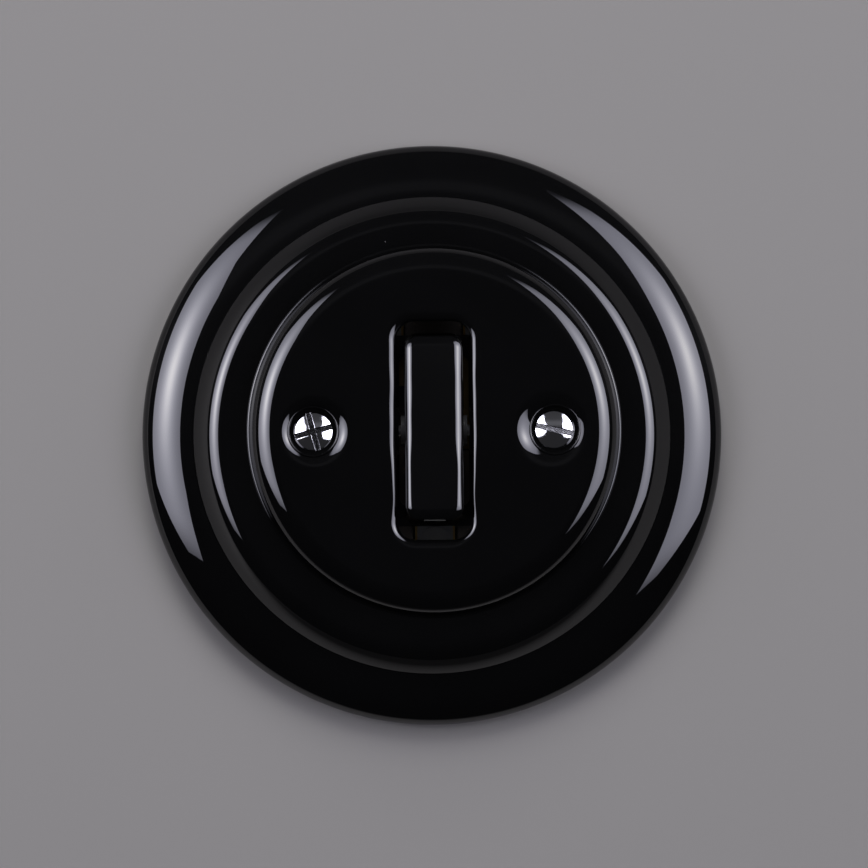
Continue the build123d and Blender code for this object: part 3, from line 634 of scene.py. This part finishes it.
# the key: a drafted block with round corners, whose face rounds off to about 50 degrees and meets crisp
# sides, hollow below where the cradle's tongues go in
key = dict(
    proud=1.4, height=5.1, width=10.1, length=32.8, sideDraft=0.15, endDraft=0.8, corner=2.25, bareEdge=0.3,
    edge=1.48, edgeRight=1.8, endEdge=1.8, edgeDepth=0.75, edgeTurn=42.5, sideSteps=12, edgeSteps=32,
    loopSteps=(40, 12, 16), waves=((0.04, 0.38, 0.5, 0.0), (0.03, 0.85, -0.6, 0.0)), dip=(0.33, -8.0, 6.0),
    tongueWidth=6.2, tongueLength=6.9, tongueSpread=17.0, tongueHeight=2.95, tongueCorner=0.6,
    tongueSteps=(2, 2, 4),
)
keyFace = coverFace + key["proud"] + pivot[1]  # above the pin


def keyPatches():
    bottom = keyFace - key["height"]
    share = np.linspace(0, 1, key["sideSteps"])
    draft = 1 - (1 - share) ** 2  # the sides stand upright where the round edge starts
    # the round is part of a tall ellipse, from edgeTurn at the side to its top at 0: the inset goes with sin,
    # the height with cos
    edgeTurn = radians(key["edgeTurn"])
    turn = np.linspace(edgeTurn, 0, key["edgeSteps"] + 1)[1:]
    drafts = np.concatenate([draft, np.ones(len(turn))])
    width = key["width"] / 2 - key["sideDraft"] * drafts
    length = key["length"] / 2 - key["endDraft"] * drafts
    inset = np.concatenate([0 * share, key["edge"] * (1 - np.sin(turn) / np.sin(edgeTurn))])
    heights = np.concatenate([
        bottom + share * (key["height"] - key["edgeDepth"]),
        keyFace - key["edgeDepth"] * (1 - np.cos(turn)) / (1 - np.cos(edgeTurn)),
    ])
    corner = key["corner"] + 0 * width
    loops = boxLoops(width, length, corner, *key["loopSteps"])
    outward = boxLoops(width + 1, length + 1, corner + 1, *key["loopSteps"]) - loops
    x, z = loops[..., 0], loops[..., 1]
    ends = outward[..., 1] ** 2
    # the round is wider on the right and tighter low down, and sways a little along the sides
    wide = np.where(x > 0, key["edgeRight"], key["edge"]) * (1 + edgeSway(x, z, key["waves"], key["dip"]))
    size = ((1 - ends) * wide + ends * key["endEdge"]) / key["edge"]
    loops = loops - outward * (inset[:, None] * size)[..., None]
    patches = [stacked(loops, heights, onRocker), flatPatch([loops[-1]], keyFace, onRocker)]
    halves = [key["tongueWidth"] / 2] * 2, [key["tongueLength"] / 2] * 2
    tongue = boxLoops(*halves, [key["tongueCorner"]] * 2, *key["tongueSteps"])
    holes = []
    for side in (-1, 1):
        pocket = tongue + np.array([0, side * key["tongueSpread"] / 2])
        patches.append(stacked(pocket, [bottom, bottom + key["tongueHeight"]], onRocker, 0.0))
        patches.append(flatPatch([pocket[1]], bottom + key["tongueHeight"], onRocker, 0.0))
        holes.append(pocket[0])
    bare = loops[0] - key["bareEdge"] * outward[0]
    patches.append(stacked(np.stack([loops[0], bare]), [bottom] * 2, onRocker, (1, 0)))
    patches.append(flatPatch([bare, *holes], bottom, onRocker, 0.0))
    return patches


makePiece("rocker_key_glazed", keyPatches(), keyGlaze, "rocker", "rocker_key", "glazed")


# the cover screws: a raised head with one slot or two, a countersink and a threaded shank
screw = dict(
    head=3.3, rise=0.85, slotWidth=0.85, slotDepth=0.95, slotEdge=0.07, slotSoft=1.6, shank=1.7, root=1.4,
    pitch=0.6, crest=1.35, threadStart=1.2, end=-2.0, endChamfer=0.5, tip=0.7, clearance=0.05,
    band=(-0.6, 1.4), bandSteps=9, bandRoom=0.02, floorSteps=6, capSteps=22, coneSteps=6, turnSteps=36,
    rowsPerTurn=8,
)
coverScrews = dict(
    cover_screw_left=dict(side=-1, angle=105, slots=2, coarse=0.5),
    cover_screw_right=dict(side=1, angle=-13, slots=1, coarse=1.0),
)


# the head's grid: columns at x = R cos f with more at the crossed slot's edges, rows across each column that
# crowd at the slot's edges. Height is a sphere's cap, cut to the floor where a slot's smooth step is 1
def headGrid(rim, slots):
    radius, half, soft = screw["head"], screw["slotWidth"] / 2, screw["slotEdge"]
    band = half + soft * np.linspace(*screw["band"], screw["bandSteps"])
    f = np.linspace(0, np.pi, 2 * screw["turnSteps"] + 1)
    columns = np.unique(np.round(np.concatenate([-radius * np.cos(f), band, -band]), decimals=5))
    reach = np.sqrt(np.maximum(radius**2 - columns**2, 0))[None, :]
    fit = np.minimum(1, reach / (band[-1] + screw["bandRoom"]))
    floorRows = np.linspace(-band[0], band[0], screw["floorSteps"])[1:-1]
    inner = np.concatenate([-band[::-1], floorRows, band])[:, None] * fit
    lower = -reach + (inner[:1] + reach) * np.linspace(0, 1, screw["capSteps"])[:-1, None]
    v = np.concatenate([lower, inner, -lower[::-1]])
    u = columns[None, :] + 0 * v
    cut = np.zeros_like(u)
    for distance in [np.abs(v), np.abs(u)][:slots]:
        cut = np.maximum(cut, smoothStep((half + soft - distance) / (screw["slotSoft"] * soft)))
    ball = (radius**2 + screw["rise"] ** 2) / (2 * screw["rise"])
    crown = rim + np.sqrt(np.maximum(ball**2 - u**2 - v**2, 0)) - (ball - screw["rise"])
    floor = rim + screw["rise"] - screw["slotDepth"]
    return u, v, crown * (1 - cut) + np.minimum(crown, floor) * cut, cut


# the countersink and the shank carry on from the loop round the head's rim. The thread is a ridge that climbs
# one pitch a turn: radius = root + depth * (1 - |2 * part of the turn - 1|), taller and cut off at the crest
def shankPatch(x, rim, loopRight, loopUp, loopHeight):
    around = np.arctan2(loopUp, loopRight)[None, :]
    neck = rim - (screw["head"] - screw["shank"])
    cone = np.linspace(0, 1, screw["coneSteps"])[:, None]
    coneRadius = screw["head"] + (screw["shank"] - screw["head"]) * cone + 0 * around
    coneHeight = loopHeight + (neck - loopHeight) * cone
    start, end = neck - screw["threadStart"], screw["end"]
    down = np.linspace(start, end, int((start - end) / screw["pitch"] * screw["rowsPerTurn"]))[:, None]
    part = (down / screw["pitch"] - around / (2 * np.pi)) % 1
    ridge = np.clip(screw["crest"] * (1 - np.abs(2 * part - 1)), 0, 1)
    begun = np.clip((start - down) / screw["pitch"], 0, 1)
    left = np.clip((down - end) / screw["endChamfer"], 0, 1)
    core = screw["shank"] * (1 - begun) + screw["root"] * begun
    threadRadius = core + (screw["shank"] - screw["root"]) * ridge * begun * left
    tip = np.array([[screw["tip"]], [0.0]]) * screw["root"] + 0 * around
    radii = np.concatenate([coneRadius, threadRadius, tip])
    heights = np.concatenate([coneHeight, down + 0 * around, end + 0 * tip])
    points = onWall(x + radii * np.cos(around), radii * np.sin(around), heights)
    return points.reshape(-1, 3), gridFaces(*radii.shape), np.zeros(radii.size)


def screwPatches(look):
    x = look["side"] * seats["spacing"] / 2
    rim = seatFloor + screw["head"] - seats["floor"] + screw["clearance"]
    u, v, height, cut = headGrid(rim, look["slots"])
    turn = radians(look["angle"])
    right, up = u * np.cos(turn) - v * np.sin(turn), u * np.sin(turn) + v * np.cos(turn)
    rows, columns = u.shape
    i, j = np.arange(rows - 1)[:, None] * columns, np.arange(columns - 1)[None, :]
    faces = np.stack([i + j, i + j + 1, i + columns + j + 1, i + columns + j], 2).reshape(-1, 4)
    head = onWall(x + right, up, height).reshape(-1, 3), faces, look["coarse"] * cut.ravel()
    loop = [np.concatenate([part[-1], part[0, -2:0:-1]]) for part in (right, up, height)]
    return [head, shankPatch(x, rim, *loop)]


# polished chrome. The mask "slotted" is 0 on the head and rises over a slot's walls to its floor, to 1 where
# the slot is coarse and to 0.5 where it is fine. Roughness and burrs follow it, and so does a painted shade
# that darkens the slots, most on their walls
chromeLook = dict(
    pale=(0.86, 0.86, 0.87), dark=(0.78, 0.78, 0.8), rough=(0.04, 0.09), slotRough=0.2,
    fineSize=0.22, fineDepth=0.0025, burrDepth=0.09,
    slotShadePlaces=(0.0, 0.1, 0.2, 0.3, 0.5, 0.75, 0.93, 1.0), slotShade=(1.0, 1.0, 0.3, 0.14, 0.2, 0.05, 0.2, 0.24),
)


def chromeMaterial():
    material, tree, shader, _ = metalMaterial("chrome_plate", chromeLook)
    plain, polish = (shader.inputs[name].links[0].from_socket for name in ("Base Color", "Roughness"))
    slotted = addNode(tree, "ShaderNodeAttribute", attribute_name="slotted").outputs["Fac"]
    # painted shade in the slots: the tone darkens along the mask, darkest on the slots' walls
    slotShade = toneAlong(tree, slotted, chromeLook["slotShadePlaces"], chromeLook["slotShade"])
    putIn(tree, timesColour(tree, plain, slotShade), shader.inputs["Base Color"])
    putIn(tree, mixed(tree, "FLOAT", slotted, polish, chromeLook["slotRough"]), shader.inputs["Roughness"])
    fine = useGroup(tree, uneven, Size=chromeLook["fineSize"], Detail=3.0)
    burr = addMath(tree, "MULTIPLY", fine, slotted)
    bumpFrom(tree, shader, [(burr, chromeLook["burrDepth"]), (fine, chromeLook["fineDepth"])])
    return material


chrome = chromeMaterial()
for name, look in coverScrews.items():
    makePiece(name + "_threaded", screwPatches(look), chrome, "housing", name, "slotted")


# finishes of the pieces inside, each with the nodes that carry it
brushed = dict(
    # the support plate is near black: painted shade, so that it reads as the dark inside round the key
    painted_shade_plate=dict(
        pale=(0.026, 0.026, 0.028), dark=(0.014, 0.014, 0.015), rough=(0.3, 0.45),
        hairs=(14, 1, 1), hairDepth=0.0012, nodes=("support_plate",),
    ),
    zinc_plate=dict(
        pale=(0.62, 0.64, 0.67), dark=(0.5, 0.52, 0.54), rough=(0.24, 0.42),
        hairs=(14, 1, 1), hairDepth=0.0012, nodes=("base_screws", "terminal_screws", "clamp_washers"),
    ),
    drawn_steel=dict(
        pale=(0.55, 0.55, 0.56), dark=(0.42, 0.42, 0.43), rough=(0.2, 0.34),
        hairs=(30, 1, 1), hairDepth=0.0008, nodes=("pivot_pin",),
    ),
    stamped_brass=dict(
        pale=(0.78, 0.6, 0.29), dark=(0.62, 0.44, 0.19), rough=(0.22, 0.4),
        hairs=(1, 1, 12), hairDepth=0.001,
        nodes=("common_strip", "upper_way_strip", "lower_way_strip", "contact_lever"),
    ),
    turned_brass=dict(
        pale=(0.8, 0.62, 0.31), dark=(0.64, 0.47, 0.21), rough=(0.16, 0.3),
        hairs=(1, 0.4, 1), hairDepth=0.001, nodes=("cover_standoffs",),
    ),
    contact_silver=dict(
        pale=(0.84, 0.83, 0.8), dark=(0.66, 0.64, 0.6), rough=(0.22, 0.38),
        hairs=(1, 1, 1), hairDepth=0.001, nodes=("lever_contacts", "fixed_contacts"),
    ),
)
moulded = dict(
    # the switch base is dark: painted shade, so that it reads as the dark inside round the key; its flecks
    # and grain are the moulding's own
    painted_shade_moulding=dict(
        pale=(0.034, 0.028, 0.024), dark=(0.022, 0.018, 0.016), fleck=(0.07, 0.05, 0.038), rough=0.42,
        grainDepth=0.004, fleckShare=0.3, nodes=("switch_base",),
    ),
    black_moulding=dict(
        pale=(0.022, 0.022, 0.024), dark=(0.016, 0.016, 0.017), fleck=(0.05, 0.05, 0.05), rough=0.38,
        grainDepth=0.003, fleckShare=0.2, nodes=("key_cradle", "plunger"),
    ),
)
finishes = {}
for looks, make in ((brushed, brushedMaterial), (moulded, mouldingMaterial)):
    for finish, look in looks.items():
        finishes[finish] = make(finish, look)
        for name in look["nodes"]:
            mesh = frame["nodes"][name].data
            mesh.materials.clear()
            mesh.materials.append(finishes[finish])
print("inner pieces finished")


# the toggle spring: a round wire on a helix about the rocker's axis, at (R + w cos g) cos f,
# (R + w cos g) sin f and h + w sin g. The height h rises slowly in the closed end coils and faster between
# them. The wire closes at its ends
spring = dict(
    seat=1.8, length=5.0, gap=0.03, radius=1.75, wire=0.225, wireEnd=0.001, turns=5.0, closed=0.75,
    closedRise=0.35, steps=40, around=14,
)


def springPatch():
    turns, closed, low = spring["turns"], spring["closed"], spring["closedRise"]
    reach = spring["length"] - 2 * spring["wire"] - 2 * spring["gap"]
    t = np.linspace(0, turns, int(turns * spring["steps"]) + 1)
    t = np.concatenate([t[:1], t, t[-1:]])[:, None]
    f, g = 2 * np.pi * t, np.linspace(0, 2 * np.pi, spring["around"], endpoint=False)[None, :]
    wire = np.full(t.shape, spring["wire"])
    wire[[0, -1]] *= spring["wireEnd"]
    h = np.interp(t, (0, closed, turns - closed, turns), (0, low, reach - low, reach))
    out = spring["radius"] + wire * np.cos(g)
    foot = spring["seat"] + spring["gap"] + spring["wire"] + reach
    points = onRocker(out * np.cos(f), out * np.sin(f), h + wire * np.sin(g) - foot)
    return points.reshape(-1, 3), gridFaces(*out.shape), np.ones(out.size)


woundSpring = makePiece(
    "toggle_spring_wound", [springPatch()], finishes["drawn_steel"],
    "rocker", "toggle_spring", "wire",
)
tuple(onRocker(0.0, 0.0, -spring["seat"]) * mm)
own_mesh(woundSpring)


# the stage: a plain pale wall with a hole that the frame covers. It only shows from the front, so that the
# back can be looked at through it, and a camera that looks along it sees the whole depth. The camera sees
# it even, but what the glaze mirrors of it has painted shade and light: lighter on the left, darker above and
# below
wallLook = dict(
    size=1600.0, behind=0.03, hole=48.0, holeSpokes=128, edgeOn=0.86, roughness=0.6,
    colour=(0.107, 0.1035, 0.0995), mirrored=(0.187, 0.181, 0.174),
    # painted shade and light on the mirrored wall: its levels by place across and upwards
    shadeAcrossPlaces=(-0.15, -0.08, 0.08, 0.17), across=(1.0, 0.571, 0.571, 0.6),
    shadeUpwardPlaces=(-0.125, -0.078, 0.08, 0.16), shadeUpward=(0.18, 1.0, 1.0, 0.5),
)


def wallPaint():
    material, tree = emptyMaterial("wall_paint")
    spot = addNode(tree, "ShaderNodeSeparateXYZ")
    join(tree, addNode(tree, "ShaderNodeTexCoord"), "Object", spot, "Vector")
    # painted shade and light in what reflections see: lighter on the left, darker above and below; the camera
    # sees the even colour
    across = toneAlong(tree, spot.outputs["X"], wallLook["shadeAcrossPlaces"], wallLook["across"])
    shadeUpward = toneAlong(tree, spot.outputs["Z"], wallLook["shadeUpwardPlaces"], wallLook["shadeUpward"])
    mirrored = timesColour(tree, timesColour(tree, wallLook["mirrored"], across), shadeUpward)
    byCamera = addNode(tree, "ShaderNodeLightPath").outputs["Is Camera Ray"]
    paint = addNode(tree, "ShaderNodeBsdfDiffuse", Roughness=wallLook["roughness"])
    putIn(tree, mixColour(tree, byCamera, mirrored, wallLook["colour"]), paint.inputs["Color"])
    facing = addNode(tree, "ShaderNodeLayerWeight").outputs["Facing"]
    edgeOn = addMath(tree, "MULTIPLY", addMath(tree, "GREATER_THAN", facing, wallLook["edgeOn"]), byCamera)
    fromBack = addNode(tree, "ShaderNodeNewGeometry").outputs["Backfacing"]
    either = addNode(tree, "ShaderNodeMixShader")
    putIn(tree, addMath(tree, "MAXIMUM", fromBack, edgeOn), either.inputs[0])
    join(tree, paint, "BSDF", either, 1)
    join(tree, addNode(tree, "ShaderNodeBsdfTransparent"), "BSDF", either, 2)
    join(tree, either, "Shader", addNode(tree, "ShaderNodeOutputMaterial"), "Surface")
    return material


half = wallLook["size"] / 2
square = np.array([(-half, -half), (half, -half), (half, half), (-half, half)])
wallHole = circleLoop(ringRight, ringUp, wallLook["hole"], wallLook["holeSpokes"])
wallPoints, wallFaces, _ = flatPatch([square, wallHole], -wallLook["behind"], onWall)
wallMesh = bpy.data.meshes.new("wall")
wallMesh.from_pydata((wallPoints * mm).tolist(), [], wallFaces.tolist())
wallMesh.materials.append(wallPaint())
wall = bpy.data.objects.new("wall", wallMesh)
bpy.context.scene.collection.objects.link(wall)


# a softbox on each side, from near the camera round to the wall. Its outline, in millimetres along the panel
# from its near edge and up, has cut corners. Its light is floor + peak / (1 + (distance to the core / width)
# squared), and fades out towards the top and the bottom
softbox = dict(
    near=(358.0, 1040.0), far=(697.0, 61.0), width=145.0, faded=0.05, floorColour=(1.0, 1.0, 1.21),
    peakColour=(1.02, 1.0, 1.05),
    left=dict(
        floor=2.1, peak=13.6, core=(565.0, 135.0), top=(520.0, 760.0), bottom=(-150.0, -330.0),
        outline=[(112, -90), (105, 255), (270, 400), (410, 760), (590, 690), (905, 430), (908, -110),
                 (600, -260), (350, -255)],
    ),
    right=dict(
        floor=2.7, peak=10.6, core=(562.0, 165.0), top=(600.0, 900.0), bottom=(-200.0, -420.0),
        outline=[(140, -140), (140, 230), (215, 400), (230, 900), (300, 960), (590, 760), (888, 430),
                 (880, -190), (640, -260), (447, -320), (225, -345)],
    ),
)


def softboxLight(name, look):
    material, tree = emptyMaterial(name)
    place = addNode(tree, "ShaderNodeTexCoord")
    (right, up), wide = look["core"], softbox["width"] * mm
    core, scale = (right * mm, up * mm, 0), (wide, wide, 1)
    fromCore = addNode(tree, "ShaderNodeMapping", vector_type="TEXTURE", Location=core, Scale=scale)
    join(tree, place, "Object", fromCore, "Vector")
    squared = addNode(tree, "ShaderNodeVectorMath", operation="DOT_PRODUCT")
    join(tree, fromCore, "Vector", squared, 0)
    join(tree, fromCore, "Vector", squared, 1)
    share = addMath(tree, "DIVIDE", 1.0, addMath(tree, "ADD", squared.outputs["Value"], 1.0))
    strength = spread(tree, share, look["floor"], look["floor"] + look["peak"])
    height = addNode(tree, "ShaderNodeSeparateXYZ")
    join(tree, place, "Object", height, "Vector")
    for full, out in (look["top"], look["bottom"]):
        fade = spread(tree, height.outputs["Y"], 1.0, softbox["faded"], full * mm, out * mm, "SMOOTHSTEP")
        strength = addMath(tree, "MULTIPLY", strength, fade)
    light = addNode(tree, "ShaderNodeEmission")
    putIn(tree, strength, light.inputs["Strength"])
    putIn(tree, mixColour(tree, share, softbox["floorColour"], softbox["peakColour"]), light.inputs["Color"])
    join(tree, light, "Emission", addNode(tree, "ShaderNodeOutputMaterial"), "Surface")
    return material


def addSoftbox(name, side, look):
    near, far = np.array(softbox["near"]), np.array(softbox["far"])
    along = (far - near) / np.linalg.norm(far - near)
    axisU, axisV = Vector((side * along[0], -along[1], 0)), Vector((0, 0, 1))
    outline = look["outline"]
    mesh = bpy.data.meshes.new(name)
    mesh.from_pydata([(s * mm, v * mm, 0) for s, v in outline], [], [tuple(range(len(outline)))])
    mesh.materials.append(softboxLight(name + "_light", look))
    panel = bpy.data.objects.new(name, mesh)
    corner = Vector((side * near[0], -near[1], 0)) * mm
    turn = Matrix((axisU, axisV, axisU.cross(axisV))).transposed().to_4x4()
    panel.matrix_world = Matrix.Translation(corner) @ turn
    panel.visible_camera = False
    bpy.context.scene.collection.objects.link(panel)


addSoftbox("softbox_left", -1, softbox["left"])
addSoftbox("softbox_right", 1, softbox["right"])


# lamps: one above that the glaze doesn't mirror, and two behind the wall for the views of the back
lamps = dict(
    lamp_above=dict(place=(0.0, -0.6, 0.8), size=0.6, power=20.0, mirrored=False),
    back_lamp_left=dict(place=(-0.6, 0.55, 0.4), size=0.6, power=4.0, mirrored=True),
    back_lamp_right=dict(place=(0.55, 0.75, 0.1), size=0.6, power=3.0, mirrored=True),
)
for name, look in lamps.items():
    lamp = bpy.data.lights.new(name, "AREA")
    lamp.size, lamp.energy = look["size"], look["power"]
    holder = bpy.data.objects.new(name, lamp)
    holder.location = look["place"]
    holder.rotation_euler = (-Vector(look["place"])).to_track_quat("-Z", "Y").to_euler()
    holder.visible_camera, holder.visible_glossy = False, look["mirrored"]
    bpy.context.scene.collection.objects.link(holder)


# the room: darkest below, lightest a little above the camera, and pale behind the wall. The camera itself
# sees it as pale as the wall
room = dict(
    behind=(0.4, 0.4, 0.41), behindFrom=0.15, behindTo=0.5, seen=(0.265, 0.257, 0.267),
    places=(-1.0, -0.1, 0.0, 0.1, 0.16, 0.24, 0.36, 0.5, 0.8, 1.0), tint=(1.0, 1.0, 1.1),
    levels=(0.02, 0.02, 0.033, 0.04, 0.055, 0.1, 0.1, 0.05, 0.04, 0.04),
)
world = bpy.data.worlds.new("dim_room")
world.use_nodes = True
roomTree = world.node_tree
around = addNode(roomTree, "ShaderNodeSeparateXYZ")
join(roomTree, addNode(roomTree, "ShaderNodeTexCoord"), "Object", around, "Vector")
roomTone = toneAlong(roomTree, around.outputs["Z"], room["places"], room["levels"], room["tint"])
behind = spread(roomTree, around.outputs["Y"], 0.0, 1.0, room["behindFrom"], room["behindTo"])
roomBoth = mixColour(roomTree, behind, roomTone, room["behind"])
byCamera = addNode(roomTree, "ShaderNodeLightPath").outputs["Is Camera Ray"]
roomSeen = mixColour(roomTree, byCamera, roomBoth, room["seen"])
putIn(roomTree, roomSeen, roomTree.nodes["Background"].inputs["Color"])
bpy.context.scene.world = world
bpy.context.scene.view_settings.view_transform = "Standard"

# the camera looks straight at the wall
camera = dict(distance=720.0, width=150.4, right=-0.03, up=-0.58, roll=0.5, sensor=36.0)
lens = bpy.data.cameras.new("camera")
lens.sensor_width = camera["sensor"]
lens.lens = camera["sensor"] * camera["distance"] / camera["width"]
eye = bpy.data.objects.new("camera", lens)
eye.location = Vector((camera["right"], -camera["distance"], camera["up"])) * mm
eye.rotation_euler = (radians(90), radians(camera["roll"]), 0)
bpy.context.scene.collection.objects.link(eye)
bpy.context.scene.camera = eye
print("stage, lights and camera ready")
